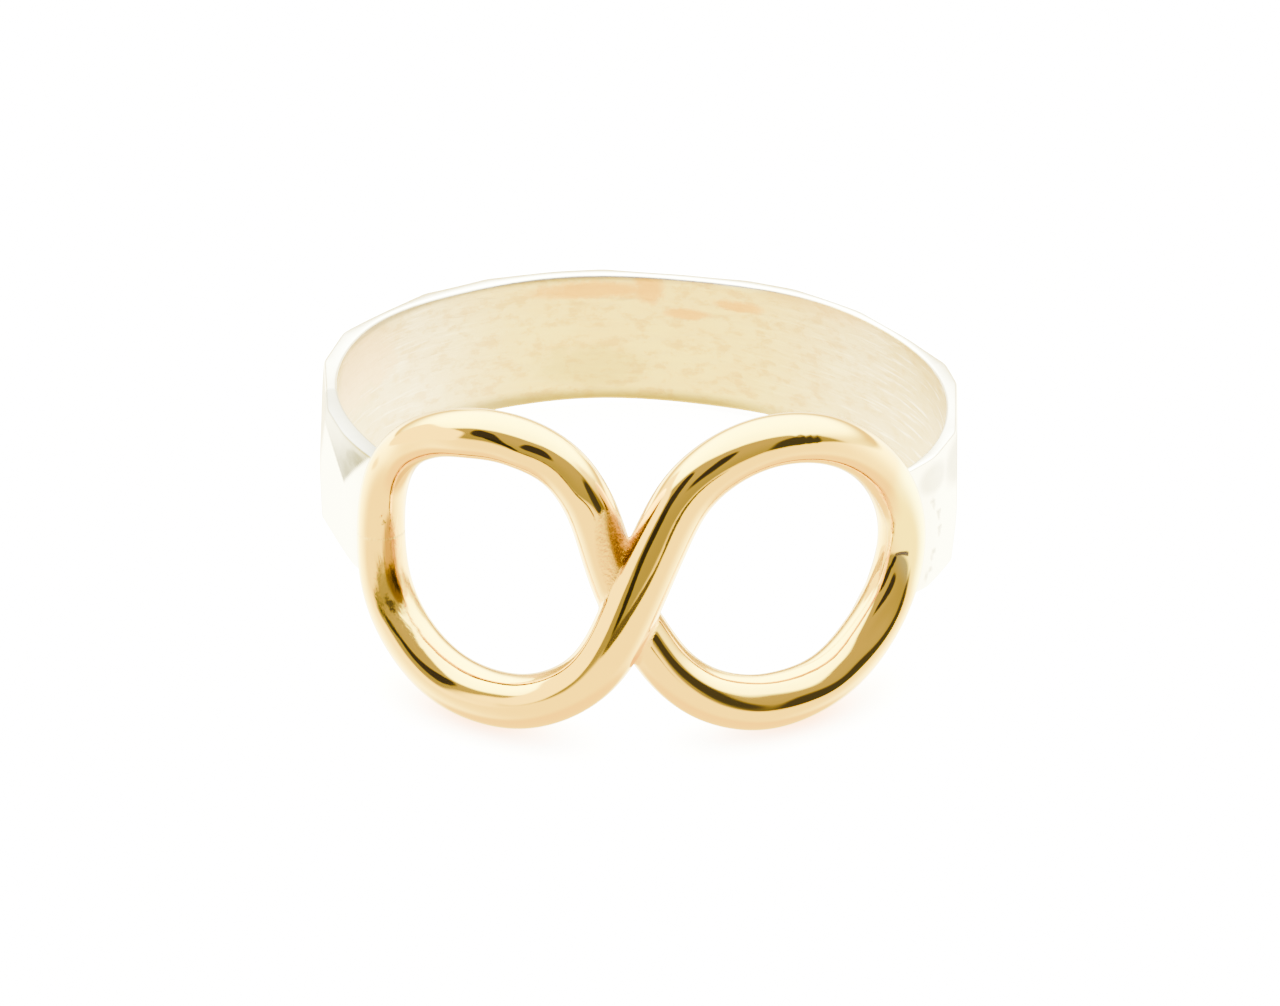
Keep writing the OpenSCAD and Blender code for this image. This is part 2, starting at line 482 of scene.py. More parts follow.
@dataclass(frozen=True)
class SilverFinish(Metal):
    """Silver, polished outside over the hammer marks and satin inside."""

    colour: Colour = (0.95, 0.93, 0.88)
    roughness: float = 0.14
    satin_colour: Colour = (0.93, 0.84, 0.67)
    satin_roughness: float = 0.40
    pale_colour: Colour = (0.97, 0.93, 0.84)
    # Tan for the mottle, also for painted shade along the upper right edge inside
    tan_and_shade_colour: Colour = (0.66, 0.48, 0.24)
    stain_colour: Colour = (0.80, 0.50, 0.01)
    grey_colour: Colour = (0.52, 0.48, 0.32)
    # Painted dark reflections on the outer facets and painted shadow in the pits
    outer_shade_colour: Colour = (0.08, 0.073, 0.04)
    # Painted shade along the top and bottom edges of the inner face
    edge_shade_colour: Colour = (0.25, 0.21, 0.14)
    # Painted shade towards the sides of the inner face
    side_shade_colour: Colour = (0.41, 0.31, 0.065)
    glint_colour: Colour = (0.97, 0.97, 0.97)
    ripple_microns: float = 16.0
    streak_microns: float = 7.0
    grain_microns: float = 1.5
    pit_microns: float = 30.0
    mm_per_degree: float = 0.151

    def material(self) -> bpy.types.Material:
        """Builds the band's material."""
        material, desk = new_material("hammered_silver")
        place = desk.node("ShaderNodeTexCoord", {}, {}, "Object")
        degrees, height, inside = desk.parts(desk.named("strip", "Vector"))
        outer_shade, pitted, _ = desk.parts(desk.named("marks", "Vector"))
        length = degrees * self.mm_per_degree
        streak = desk.noise(desk.joined(length * 0.5, height * 9.0, 0.0), 1.0, 5.0, 0.62)
        cloud = desk.noise(desk.joined(length * 0.55, height * 0.9, 4.0), 1.0, 3.0, 0.55)
        mottle = desk.noise(desk.joined(length * 1.6, height * 2.6, 9.0), 1.0, 4.0, 0.6)
        ripple = desk.noise(desk.joined(length * 1.1, height * 3.2, 2.0), 1.0, 2.0, 0.5, 0.8)
        warp = desk.noise(desk.joined(length, height, 0.0), 1.7, 3.0, 0.6) - 0.5
        fine = desk.noise(place, 6000.0, 3.0, 0.6)
        colour = self.inner_colour(desk, degrees, height, (warp, cloud, mottle, streak))
        # Painted dark reflections on the outer facets and painted shadow in the pits, a little
        # rougher there
        outer_shade = outer_shade * (0.96 + mottle.rise(0.35, 0.65) * 0.06)
        outer = desk.blend(outer_shade, self.colour, self.outer_shade_colour)
        colour = desk.blend(inside, outer, colour)
        roughness = self.roughness + inside * (self.satin_roughness - self.roughness)
        roughness = roughness + fine * 0.06 + outer_shade * 0.25
        normal = self.bumped(
            desk,
            (ripple * inside, self.ripple_microns),
            (streak * inside, self.streak_microns),
            (fine, self.grain_microns),
            (mottle * pitted, self.pit_microns),
        )
        self.shader(desk, colour, roughness, normal)
        return material

    def inner_colour(
        self, desk: NodeDesk, degrees: Field, height: Field, noises: tuple[Field, ...]
    ) -> Field:
        """Colours the satin inner face with its clouds and stains, painted shade along its edges
        and towards its sides, and a painted glint.

        Args:
            desk: The material's node desk.
            degrees: Angle round the finger, from the front to the right.
            height: Height on the band, in millimetres.
            noises: A warp round 0 that frays the marks, a cloud, a mottle and a streak.

        Returns:
            The colour.
        """
        warp, cloud, mottle, streak = noises

        def spot(middle: float, level: float, wide: float, tall: float) -> Field:
            """Masks an oval with frayed edges, in degrees and millimetres."""
            across = (degrees - middle) / wide + warp * 0.9
            upward = (height - level) / tall + warp * 1.4
            return (across * across + upward * upward).rise(1.7, 0.2)

        # Painted shade along the edges of the inner face
        low_edge_shade = height.rise(-1.50, -1.88) * (degrees - 186.0).size().rise(52.0, 20.0)
        high_edge_shade = height.rise(1.74, 1.90) * (degrees - 214.0).size().rise(56.0, 26.0)
        right_edge_shade = height.rise(1.45, 1.92) * (degrees - 144.0).size().rise(20.0, 5.0)
        # Painted shade, growing towards the sides of the inner face
        aside = (degrees - 183.0).size().rise(15.0, 78.0)
        stains = spot(190.0, 1.50, 12.0, 0.26).most(spot(178.5, 1.55, 3.0, 0.45))
        stains = stains.most(spot(171.0, 0.85, 5.0, 0.16)).most(spot(160.5, 1.3, 5.0, 0.18))
        return desk.painted(
            self.satin_colour,
            (cloud.rise(0.42, 0.62) * 0.55, self.pale_colour),
            (mottle.rise(0.47, 0.64) * 0.6, self.tan_and_shade_colour),
            (aside * (1.05 - cloud * 0.3), self.side_shade_colour),
            (streak.rise(0.52, 0.70) * 0.5, self.pale_colour),
            (spot(250.0, 0.9, 15.0, 1.1), self.tan_and_shade_colour),
            (spot(189.5, -0.9, 11.0, 0.6) * 0.4, self.grey_colour),
            (stains * 0.95, self.stain_colour),
            (spot(160.0, 1.92, 4.5, 0.13), self.glint_colour),
            (low_edge_shade * 0.9, self.edge_shade_colour),
            (high_edge_shade * 0.85, self.edge_shade_colour),
            (right_edge_shade * 0.6, self.tan_and_shade_colour),
        )


@dataclass(frozen=True)
class Station:
    """One section of the wire.

    Lengths are shares: out of half the figure's width, up of half its height,
    lift, across and deep of the wire's diameter.
    """

    out: float
    up: float
    lift: float
    across: float
    deep: float


STATIONS = [
    Station(-0.99, 0.02, 0.00, 0.79, 0.86),
    Station(-0.965, -0.38, 0.00, 0.84, 0.90),
    Station(-0.86, -0.69, 0.00, 0.89, 0.94),
    Station(-0.70, -0.92, 0.00, 0.96, 0.98),
    Station(-0.52, -0.99, 0.05, 0.96, 1.00),
    Station(-0.35, -0.94, 0.19, 0.93, 1.00),
    Station(-0.19, -0.745, 0.34, 0.90, 1.00),
    Station(-0.085, -0.45, 0.37, 0.96, 1.00),
    Station(0.00, -0.01, 0.26, 1.00, 1.00),
    Station(0.075, 0.345, 0.11, 0.98, 1.00),
    Station(0.16, 0.67, 0.02, 0.95, 1.00),
    Station(0.30, 0.905, 0.02, 0.92, 0.98),
    Station(0.47, 0.99, 0.00, 0.88, 0.95),
    Station(0.66, 0.92, 0.00, 0.85, 0.92),
    Station(0.83, 0.70, 0.00, 0.80, 0.90),
    Station(0.96, 0.38, 0.00, 0.78, 0.88),
    Station(1.02, 0.00, 0.00, 0.75, 0.86),
    Station(0.965, -0.40, 0.00, 0.80, 0.90),
    Station(0.83, -0.71, 0.00, 0.88, 0.94),
    Station(0.68, -0.92, 0.00, 0.86, 0.96),
    Station(0.50, -1.00, 0.00, 0.96, 0.98),
    Station(0.36, -0.985, 0.00, 0.96, 0.98),
    Station(0.22, -0.88, 0.00, 0.92, 0.98),
    Station(0.11, -0.69, 0.00, 0.88, 0.96),
    Station(0.03, -0.45, 0.00, 0.88, 0.94),
    Station(-0.05, -0.16, 0.00, 0.88, 0.92),
    Station(-0.105, 0.17, 0.00, 0.88, 0.92),
    Station(-0.155, 0.52, 0.00, 0.86, 0.92),
    Station(-0.24, 0.81, 0.00, 0.84, 0.92),
    Station(-0.37, 0.97, 0.00, 0.86, 0.92),
    Station(-0.53, 1.01, 0.00, 0.86, 0.92),
    Station(-0.70, 0.94, 0.00, 0.80, 0.90),
    Station(-0.86, 0.76, 0.00, 0.74, 0.88),
    Station(-0.965, 0.43, 0.00, 0.73, 0.86),
]
# Places among the stations: the right end, and where each strand crosses the other
RIGHT_END = 16
FRONT_CROSSING = 8.0
BACK_CROSSING = 25.2


@dataclass(frozen=True)
class Dent:
    """A soft dent or bump of the wire.

    It lies at a station and an angle round the wire, and reaches over a share of a
    station and some degrees. Its depth is in millimetres, less than 0 for a dent.
    """

    station: float
    turn: float
    length: float
    spread: float
    depth: float


@dataclass
class WireFigure:
    """The gold wire in a figure of eight round the front of the finger, in millimetres."""

    place: RestingPlace
    finger_r: float
    wire_d: float = 1.62
    figure_w: float = 16.4
    figure_h: float = 7.9
    figure_rise: float = 0.25
    finger_room: float = 0.15
    rings: int = 24
    sides: int = 72
    smoothing: float = 0.35
    fillet: float = 0.10
    fillet_limit: float = 0.07
    solder_reach: float = 3.2
    solder_sink: float = 0.02
    solder_passes: int = 14
    dents: tuple[Dent, ...] = (
        Dent(17.75, 56.0, 0.70, 30.0, -0.12),
        Dent(19.2, 56.0, 0.60, 30.0, -0.05),
        Dent(20.9, 56.0, 1.10, 30.0, -0.07),
        Dent(28.3, 100.0, 0.5, 40.0, -0.03),
        Dent(27.5, 80.0, 0.35, 40.0, 0.03),
        Dent(29.1, 110.0, 0.4, 50.0, 0.025),
        Dent(31.2, 120.0, 0.5, 45.0, -0.035),
        Dent(30.4, 130.0, 0.5, 45.0, 0.03),
        Dent(1.2, 140.0, 0.35, 30.0, -0.03),
        Dent(2.0, 150.0, 0.3, 30.0, 0.025),
        Dent(3.2, 140.0, 0.5, 40.0, -0.02),
        Dent(4.4, 150.0, 0.4, 40.0, 0.02),
        Dent(33.55, 146.0, 0.10, 8.0, -0.06),
        Dent(32.3, 80.0, 0.35, 30.0, -0.045),
        Dent(31.7, 60.0, 0.25, 25.0, 0.03),
        Dent(12.2, 125.0, 0.05, 22.0, -0.008),
        Dent(12.38, 123.0, 0.05, 22.0, -0.008),
        Dent(12.5, 118.0, 0.05, 20.0, -0.006),
    )
    finish: GoldFinish = field(default_factory=GoldFinish)

    @property
    def wire_r(self) -> float:
        """Distance of the wire's middle line from the finger's axis."""
        return self.finger_r + self.finger_room + self.wire_d / 2

    @property
    def half_angle(self) -> float:
        """Half the angle from one end of the figure to the other, in radians."""
        return self.figure_w / 2 / self.wire_r

    def rows(self) -> np.ndarray:
        """Works out the wire's sections all the way along, smoothed.

        Returns:
            Angle, distance, height and the two half-widths, a row for each ring.
        """
        table = np.array([[s.out, s.up, s.lift, s.across, s.deep] for s in STATIONS])
        count = len(table)
        at = np.arange(count * self.rings) / self.rings
        base = np.floor(at).astype(int)
        f = (at - base)[:, None]
        before, start, end, after = (table[(base + k) % count] for k in (-1, 0, 1, 2))
        curve = 2 * start + (end - before) * f
        curve = curve + (2 * before - 5 * start + 4 * end - after) * f**2
        curve = (curve + (3 * start - before - 3 * end + after) * f**3) / 2
        curve = self.smoothed(curve, self.smoothing * self.rings)
        out, up, lift, across, deep = curve.T
        angle, distance = out * self.half_angle, self.wire_r + lift * self.wire_d
        height = self.figure_rise + up * self.figure_h / 2
        across, deep = across * self.wire_d / 2, deep * self.wire_d / 2
        return np.stack([angle, distance, height, across, deep], 1)

    @staticmethod
    def smoothed(rows: np.ndarray, width: float) -> np.ndarray:
        """Blurs a closed list of rows along itself.

        Args:
            rows: The rows.
            width: Spread of the blur, in rows.

        Returns:
            The blurred rows.
        """
        offsets = np.arange(-int(3 * width), int(3 * width) + 1)
        weights = np.exp(-0.5 * (offsets / width) ** 2)
        weights = weights / weights.sum()
        return sum(w * np.roll(rows, k, axis=0) for k, w in zip(offsets, weights))

    def path(self) -> dict[str, np.ndarray]:
        """Works out the middle line and the directions across it.

        Returns:
            Middle points, side and outward directions and half-widths, in the ring's frame.
        """
        angle, radius, height, across, deep = self.rows().T
        middle = np.stack([radius * np.sin(angle), -radius * np.cos(angle), height], 1)
        along = unit(np.roll(middle, -1, 0) - np.roll(middle, 1, 0))
        side = unit(np.cross(along, middle * [1, 1, 0]))
        out = np.cross(side, along)
        return {"middle": middle, "side": side, "out": out, "across": across, "deep": deep}

    def sweep_tree(self) -> bpy.types.NodeTree:
        """Builds the Geometry Nodes that sweep an oval section along the path."""
        tree = bpy.data.node_groups.new("wire_sweep", "GeometryNodeTree")
        desk = NodeDesk(tree)
        kinds = {"Path": "Geometry", "Sides": "Int", "Finish": "Material", "Wire": "Geometry"}
        for name, kind in kinds.items():
            way = "OUTPUT" if name == "Wire" else "INPUT"
            tree.interface.new_socket(name, in_out=way, socket_type=f"NodeSocket{kind}")
        given = desk.put("NodeGroupInput", {}, {})
        curve = desk.node("GeometryNodeMeshToCurve", {}, {"Mesh": given.outputs["Path"]})
        circle = desk.node(
            "GeometryNodeCurvePrimitiveCircle",
            {"mode": "RADIUS"},
            {"Resolution": given.outputs["Sides"], "Radius": MM},
        )
        index = desk.node("GeometryNodeInputIndex", {}, {})
        turn = (index + 0.5) * (2 * math.pi) / Field(desk, given.outputs["Sides"])
        circle = desk.node(
            "GeometryNodeStoreNamedAttribute",
            {"data_type": "FLOAT", "domain": "POINT"},
            {"Geometry": circle, "Name": "turn", "Value": turn},
        )
        tube = desk.node("GeometryNodeCurveToMesh", {}, {"Curve": curve, "Profile Curve": circle})

        def attribute(name: str, kind: str) -> Field:
            """Reads an attribute that the path or the section carries."""
            settings, inputs = {"data_type": kind}, {"Name": name}
            return desk.node("GeometryNodeInputNamedAttribute", settings, inputs, "Attribute")

        angle = attribute("turn", "FLOAT")
        sideways = angle.math("COSINE") * attribute("across", "FLOAT")
        outwards = angle.math("SINE") * attribute("deep", "FLOAT")
        aside = desk.scaled(attribute("side", "FLOAT_VECTOR"), sideways)
        away = desk.scaled(attribute("out", "FLOAT_VECTOR"), outwards)
        middle = attribute("middle", "FLOAT_VECTOR")
        place = desk.vector("ADD", middle, desk.vector("ADD", aside, away))
        tube = desk.node("GeometryNodeSetPosition", {}, {"Geometry": tube, "Position": place})
        tube = desk.node("GeometryNodeRealizeInstances", {}, {"Geometry": tube})
        inputs = {"Geometry": tube, "Material": given.outputs["Finish"]}
        tube = desk.node("GeometryNodeSetMaterial", {}, inputs)
        desk.put("NodeGroupOutput", {}, {"Wire": tube})
        return tree

    def swept(self, finish: bpy.types.Material) -> bpy.types.Object:
        """Sweeps the wire with Geometry Nodes and keeps the result as a plain mesh.

        Args:
            finish: The wire's material.

        Returns:
            The wire, in the ring's own frame.
        """
        path = self.path()
        count = len(path["middle"])
        ring = np.arange(count)
        mesh = bpy.data.meshes.new("wire_path")
        edges = np.stack([ring, (ring + 1) % count], 1)
        mesh.from_pydata((path["middle"] * MM).tolist(), edges.tolist(), [])
        for name, values in path.items():
            store(mesh, name, values if name in ("side", "out") else values * MM)
        store(mesh, "ring", ring.astype(float))
        carrier = put_in_scene("wire_path", mesh)
        tree = self.sweep_tree()
        modifier = carrier.modifiers.new("sweep", "NODES")
        modifier.node_group = tree
        keys = {s.name: s.identifier for s in tree.interface.items_tree if s.in_out == "INPUT"}
        modifier[keys["Sides"]] = self.sides
        modifier[keys["Finish"]] = finish
        bpy.context.view_layer.update()
        graph = bpy.context.evaluated_depsgraph_get()
        made = bpy.data.meshes.new_from_object(carrier.evaluated_get(graph))
        # The sweep leaves this tube's faces pointing inwards
        made.flip_normals()
        bpy.data.objects.remove(carrier)
        return put_in_scene("gold_wire", made)

    def soldered(self, points: np.ndarray, ring: np.ndarray) -> tuple[np.ndarray, np.ndarray]:
        """Runs the two strands into each other where they cross.

        Args:
            points: The wire's points in the ring's own frame.
            ring: The number of the ring that each point belongs to.

        Returns:
            The moved points and how much solder lies on each.
        """
        path = self.path()
        moved = points.copy()
        solder = np.zeros(len(points))
        radius = (path["across"] + path["deep"]) / 2
        number = np.arange(len(radius))
        reach = self.solder_reach * self.rings
        front = np.abs(number - FRONT_CROSSING * self.rings) < reach
        back = np.abs(number - BACK_CROSSING * self.rings) < reach
        for mine, other in ((front, back), (back, front)):
            chosen = np.flatnonzero(mine[ring])
            base = points[chosen]
            middle = path["middle"][ring[chosen]]
            away = unit(base - middle)
            lines, widths = path["middle"][other], radius[other]

            def gap(places: np.ndarray) -> np.ndarray:
                """Distance of places from the other strand's surface."""
                apart = np.linalg.norm(places[:, None] - lines[None], axis=2)
                return (apart - widths).min(1)

            height = np.zeros(len(chosen))
            for _ in range(self.solder_passes):
                near = gap(base + away * height[:, None])
                sink = self.solder_sink * smooth_step(height - near, 0.0, 0.1)
                height = height - (soft_least(height, near, self.fillet) + sink)
                height = np.clip(height, 0.0, self.fillet_limit)
            moved[chosen] = base + away * height[:, None]
            solder[chosen] = smooth_step(height, 0.0, 0.03)
        return moved, solder

    def dented(self, points: np.ndarray, ring: np.ndarray, turn: np.ndarray) -> np.ndarray:
        """Presses the dents and bumps in the wire.

        Args:
            points: The wire's points in the ring's own frame.
            ring: The number of the ring that each point belongs to.
            turn: Each point's angle round the wire, in degrees.

        Returns:
            The moved points.
        """
        station = ring / self.rings
        height = np.zeros(len(points))
        for dent in self.dents:
            along = wrapped(station - dent.station, len(STATIONS)) / dent.length
            across = wrapped(turn - dent.turn, 360) / dent.spread
            height += dent.depth * np.exp(-(along**2) - across**2)
        away = unit(points - self.path()["middle"][ring])
        return points + away * height[:, None]

    def marks(self, ring: np.ndarray, turn: np.ndarray, solder: np.ndarray) -> np.ndarray:
        """Works out where the wire is frosted, filed or silvered, and where warm shade is painted.

        Args:
            ring: The number of the ring that each point belongs to.
            turn: Each point's angle round the wire, in degrees.
            solder: How much solder lies on each point.

        Returns:
            The shares of frost, filing, silver and painted warm shade, four for each point.
        """
        station = ring / self.rings

        def zone(middle: float, half: float, side: float, reach: float) -> np.ndarray:
            """A soft zone of the wire, in stations and in degrees round it."""
            along = wrapped(station - middle, len(STATIONS)) / half
            across = wrapped(turn - side, 360) / reach
            return smooth_step(-(along**2 + across**2), -1.3, -0.6)

        frosted = np.maximum(zone(25.9, 1.1, 45.0, 62.0), solder * 0.5)
        worked = np.maximum(zone(0.9, 1.5, 165.0, 60.0), zone(15.0, 1.3, 350.0, 50.0) * 0.5)
        silvered = np.maximum(zone(0.0, 1.9, 0.0, 75.0), zone(15.7, 1.25, 120.0, 110.0))
        # Painted warm shade where the strands cross, and along the inside near the left end
        notch_shade = np.maximum(zone(26.2, 0.85, 36.0, 30.0), zone(27.1, 1.0, 36.0, 12.0) * 0.8)
        inner = np.maximum(zone(0.5, 1.1, 162.0, 17.0) * 0.9, zone(31.9, 1.1, 158.0, 8.0) * 0.5)
        return np.stack([frosted, worked, silvered * 0.85, np.maximum(notch_shade, inner)], 1)

    def build(self) -> bpy.types.Object:
        """Builds the wire and lays it in its resting place.

        Returns:
            The wire's piece.
        """
        piece = self.swept(self.finish.material())
        mesh = piece.data
        ring = np.rint(read(mesh, "ring")).astype(int)
        turn = read(mesh, "turn")
        degrees = np.degrees(turn)
        points, solder = self.soldered(corners(mesh), ring)
        points = self.dented(points, ring, degrees)
        path = self.path()
        steps = np.linalg.norm(np.diff(path["middle"], axis=0, append=path["middle"][:1]), axis=1)
        length = np.concatenate([[0.0], np.cumsum(steps)[:-1]])
        marks = self.marks(ring, degrees, solder)
        drawn = np.stack([length[ring], turn * self.wire_d / 2, np.zeros(len(ring))], 1)
        store(mesh, "drawn", drawn)
        store(mesh, "marks", marks[:, :3])
        store(mesh, "groove", marks[:, 3])
        mesh.vertices.foreach_set("co", (self.place.seat(points) * MM).astype(np.float32).ravel())
        mesh.shade_smooth()
        mesh.update()
        return piece


@dataclass(frozen=True)
class Blow:
    """One hammer mark: where it lies and how its face is turned, in degrees and millimetres."""

    angle: float
    height: float
    yaw: float
    pitch: float
    depth: float


@dataclass
class HammeredBand:
    """The silver band, open at the front, with a hammered outer face.

    Lengths are in millimetres, and the gap, the ends' lap and the blows' turn in degrees.
    """

    place: RestingPlace
    wire: WireFigure
    width: float = 4.0
    thickness: float = 0.5
    corner_r: float = 0.09
    columns: int = 640
    outer_rows: int = 44
    inner_rows: int = 20
    corner_rows: int = 5
    blow_pitch: float = 2.3
    blow_rows: tuple[float, ...] = (-1.35, 0.0, 1.35)
    blow_stray: float = 0.3
    blow_rise: float = 0.25
    blow_turn: float = 5.0
    blow_depth: float = 0.045
    seed: int = 11
    half_gap: float = 50.0
    end_lap: float = 1.2
    upper_dip: float = 0.25
    fillet_reach: float = 0.9
    fillet_height: float = 0.42
    fillet_from: float = -4.0
    finish: SilverFinish = field(default_factory=SilverFinish)

    def blows(self) -> list[Blow]:
        """Chooses the hammer marks round the band, with a fixed seed."""
        rng = np.random.default_rng(self.seed)
        pitch = math.degrees(self.blow_pitch / self.wire.finger_r)
        marks = []
        for row, height in enumerate(self.blow_rows):
            for angle in np.arange(40 + row * pitch / 2, 320, pitch):
                stray, rise, yaw, tip, deep = rng.uniform(-1, 1, 5)
                place = angle + stray * pitch * self.blow_stray, height + rise * self.blow_rise
                face = yaw * self.blow_turn, tip * self.blow_turn, deep * self.blow_depth
                marks.append(Blow(*place, *face))
        return marks

    def outer_radius(self, angle: np.ndarray, height: np.ndarray) -> np.ndarray:
        """Works out the outer face, cut by the flat hammer marks.

        Args:
            angle: Angles from the front, in radians.
            height: Heights above the band's middle.

        Returns:
            Distances from the finger's axis.
        """
        bare = self.wire.finger_r + self.thickness
        radius = np.full(angle.shape, bare + 0.12)
        x, y = np.sin(angle), -np.cos(angle)
        for mark in self.blows():
            a = math.radians(mark.angle)
            turned = a + math.radians(mark.yaw)
            pitch = math.radians(mark.pitch)
            flat = math.cos(pitch)
            normal = np.array([math.sin(turned) * flat, -math.cos(turned) * flat, math.sin(pitch)])
            foot = np.array([math.sin(a), -math.cos(a), 0.0]) * (bare - mark.depth)
            foot[2] = mark.height
            facing = x * normal[0] + y * normal[1]
            cut = (foot @ normal - height * normal[2]) / np.maximum(facing, 0.2)
            cut = np.where(facing > 0.2, cut, bare + 1.0)
            radius = soft_least(radius, cut, 0.05)
        return radius

    def edge_heights(self, angle: np.ndarray) -> tuple[np.ndarray, np.ndarray]:
        """Works out the heights of the lower and upper edge.

        Args:
            angle: Angles from the front, in radians.

        Returns:
            Heights of the lower edge and of the upper edge.
        """
        half = self.width / 2
        end_share = np.abs(angle / math.pi - 1.0) ** 4 / (1 - self.half_gap / 180) ** 4
        wander = 0.045 * np.sin(3.1 * angle + 0.6) + 0.03 * np.sin(7.3 * angle + 2.0)
        low = -half + 0.05 * np.sin(2.3 * angle + 1.9) + 0.025 * np.sin(8.1 * angle)
        return low, half + wander - self.upper_dip * end_share

    def wire_angle(self, height: np.ndarray, side: Side) -> np.ndarray:
        """Finds how far round the wire's end lies at given heights.

        Args:
            height: Heights in the ring's own frame.
            side: The end of the figure.

        Returns:
            Angles from the front to that side, in radians.
        """
        angle, _, level, _, _ = self.wire.rows().T
        rings = self.wire.rings
        centre = RIGHT_END * rings if side is Side.RIGHT else 0
        near = (centre + np.arange(-3 * rings, 3 * rings + 1)) % len(angle)
        order = np.argsort(level[near])
        return np.interp(height, level[near][order], side.value * angle[near][order])

    def section(self, angle: np.ndarray) -> np.ndarray:
        """Works out the closed section of the strip for each column.

        Args:
            angle: The columns' angles from the front, in radians.

        Returns:
            Radius and height of each point of each section, and whether it faces the finger.
        """
        low, high = self.edge_heights(angle)
        inner = self.wire.finger_r
        r = self.corner_r
        quarter = np.linspace(0, math.pi / 2, self.corner_rows)
        points = []

        def arc(
            centre_r: np.ndarray, centre_z: np.ndarray, start: float, faces: tuple[float, float]
        ) -> None:
            """Adds a quarter round at a corner, from one kind of face to another."""
            for step, face in zip(quarter, np.linspace(*faces, self.corner_rows) ** 2):
                across, up = r * np.cos(step + start), r * np.sin(step + start)
                points.append((centre_r + across, centre_z + up, face + 0 * angle))

        def column(
            rows: int, radius: Callable[[np.ndarray], np.ndarray], up: bool, face: float
        ) -> None:
            """Adds the points between two corners."""
            for share in np.linspace(0, 1, rows + 2)[1:-1]:
                share = share if up else 1 - share
                z = low + r + (high - low - 2 * r) * share
                points.append((radius(z), z, face + 0 * angle))

        arc(self.outer_radius(angle, high - r) - r, high - r, 0.0, (0.0, 0.0))
        arc(inner + r + 0 * angle, high - r, math.pi / 2, (0.0, 1.0))
        column(self.inner_rows, lambda z: inner + 0 * angle, False, 1.0)
        arc(inner + r + 0 * angle, low + r, math.pi, (1.0, 0.0))
        arc(self.outer_radius(angle, low + r) - r, low + r, 1.5 * math.pi, (0.0, 0.0))
        column(self.outer_rows, lambda z: self.outer_radius(angle, z), True, 0.0)
        return np.array(points)

    def with_fillet(self, points: np.ndarray, radius: np.ndarray, face: np.ndarray) -> np.ndarray:
        """Flares the outer face up to the wire, as solder does.

        Args:
            points: The strip's points in the ring's own frame.
            radius: Their distances from the leaning band's axis.
            face: 1 where a point faces the finger.

        Returns:
            The moved points.
        """
        path = self.wire.path()
        middle, width = path["middle"], (path["across"] + path["deep"]) / 2
        moved = points.copy()
        near = np.flatnonzero((points[:, 1] < self.fillet_from) & (face < 0.5))
        stride, batches = 4, 40
        for part in np.array_split(near, batches):
            apart = np.linalg.norm(points[part][:, None] - middle[None, ::stride], axis=2)
            gap = (apart - width[::stride]).min(1)
            climb = np.clip(1.0 - gap / self.fillet_reach, 0.0, 1.0) ** 2 * self.fillet_height
            outward = unit(points[part] * [1, 1, 0])
            share = np.clip((radius[part] - self.wire.finger_r) / self.thickness, 0.0, 1.0)
            moved[part] = points[part] + outward * (climb * share)[:, None]
        return moved

    def build(self) -> bpy.types.Object:
        """Builds the band and lays it in its resting place.

        Returns:
            The band's piece.
        """
        share = np.linspace(0.0, 1.0, self.columns + 1)
        start = np.radians(self.half_gap)
        angle = start + (2 * math.pi - 2 * start) * share
        radius, height, face = np.moveaxis(self.section(angle), 1, 0)
        per_ring, count = radius.shape
        lean_height = height - np.sin(angle) * radius * math.sin(self.place.lean)
        lap = math.radians(self.end_lap)
        right = self.wire_angle(lean_height, Side.RIGHT) + lap
        left = self.wire_angle(lean_height, Side.LEFT) + lap
        bend_right = smooth_step(1.0 - share, 0.9, 1.0)
        bend_left = smooth_step(share, 0.9, 1.0)
        turned = angle + (right - start) * bend_right - (left - start) * bend_left
        upright = np.stack([radius * np.sin(turned), -radius * np.cos(turned), height], -1)
        points = self.place.lean_over(upright)
        flat = points.transpose(1, 0, 2).reshape(-1, 3)
        flat = self.with_fillet(flat, radius.T.ravel(), face.T.ravel())
        faces = self.faces(count, per_ring)
        first, last = flat[:per_ring].mean(0), flat[-per_ring:].mean(0)
        flat = np.concatenate([flat, [first, last]])
        piece = mesh_piece("silver_band", self.place.seat(flat), faces)
        strip = np.stack([np.degrees(turned.T), height.T, face.T], -1).reshape(-1, 3)
        strip = np.concatenate([strip, strip[:1], strip[-1:]])
        store(piece.data, "strip", strip)
        store(piece.data, "marks", self.marks(strip))
        piece.data.materials.append(self.finish.material())
        return piece

    def marks(self, strip: np.ndarray) -> np.ndarray:
        """Works out where the outer face is pitted, and where dark reflections and shadow are
        painted on it.

        Args:
            strip: Angle in degrees, height and kind of face of each point.

        Returns:
            The shares of painted shade and of pits, three numbers for each point.
        """
        degrees, height, face = strip.T
        outside = 1.0 - face

        def spot(middle: float, level: float, wide: float, tall: float) -> np.ndarray:
            """Masks a soft oval, in degrees and millimetres."""
            apart = ((degrees - middle) / wide) ** 2 + ((height - level) / tall) ** 2
            return smooth_step(-apart, -1.3, -0.3)

